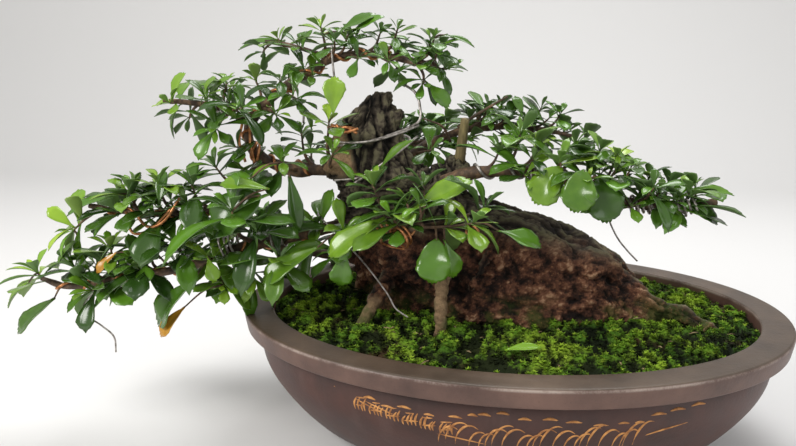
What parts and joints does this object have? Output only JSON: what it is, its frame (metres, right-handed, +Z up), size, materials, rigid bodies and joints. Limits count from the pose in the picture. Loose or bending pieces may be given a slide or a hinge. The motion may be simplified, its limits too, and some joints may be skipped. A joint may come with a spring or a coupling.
{
  "type": "bonsai tree in a pot",
  "caption": "Wired broadleaf bonsai with a sloping mound of a trunk, growing out of moss in an oval unglazed clay pot.",
  "frame": {"origin": "centre of the whole tree's box, on the surface that the pot's feet stand on", "axes": "+X along the pot's length, away from the low left branch; +Y from the viewing side to the back; +Z up"},
  "size_m": [0.5744, 0.304, 0.3144],
  "materials": {
    "clay": "matte",
    "trunk_bark": "matte",
    "branch_bark": "matte",
    "moss": "matte",
    "soil": "matte",
    "gravel": "matte",
    "screen": "matte",
    "clip_wire": "satin",
    "training_wire": "satin",
    "leaf": "satin"
  },
  "bodies": {
    "root": {"branch_apex_twig": "branch_bark", "branch_front": "branch_bark", "branch_leader": "branch_bark", "branch_left_back": "branch_bark", "branch_left_high": "branch_bark", "branch_left_low": "branch_bark", "branch_left_middle": "branch_bark", "branch_rear": "branch_bark", "branch_right_back": "branch_bark", "branch_right_low": "branch_bark", "drain_screen_left": "screen", "drain_screen_right": "screen", "foot_back_left": "clay", "foot_back_right": "clay", "foot_front_left": "clay", "foot_front_right": "clay", "gravel_layer": "gravel", "moss": "moss", "pot": "clay", "screen_clip_left": "clip_wire", "screen_clip_right": "clip_wire", "soil": "soil", "spray_apex_front": "leaf", "spray_apex_right": "leaf", "spray_apex_top": "leaf", "spray_apex_twig": "leaf", "spray_front": "leaf", "spray_leader_elbow": "leaf", "spray_leader_inner": "leaf", "spray_leader_outer": "leaf", "spray_left_back_tip": "leaf", "spray_left_back_top": "leaf", "spray_left_high": "leaf", "spray_left_low_front": "leaf", "spray_left_low_hanging": "leaf", "spray_left_low_middle": "leaf", "spray_left_low_tip": "leaf", "spray_left_low_top": "leaf", "spray_left_low_upper": "leaf", "spray_left_middle_front": "leaf", "spray_left_middle_tip": "leaf", "spray_left_middle_top": "leaf", "spray_rear": "leaf", "spray_right_back_tip": "leaf", "spray_right_back_top": "leaf", "spray_right_low_base": "leaf", "spray_right_low_front": "leaf", "spray_right_low_middle": "leaf", "spray_right_low_tip": "leaf", "spray_right_low_top": "leaf", "trunk": "trunk_bark", "wire_front": "training_wire", "wire_leader": "training_wire", "wire_left_low": "training_wire", "wire_left_middle": "training_wire", "wire_right_low": "training_wire", "wire_tail_left": "training_wire", "wire_tie_left": "training_wire", "wire_tie_right": "training_wire", "wire_trunk": "training_wire"}
  },
  "joints": []
}
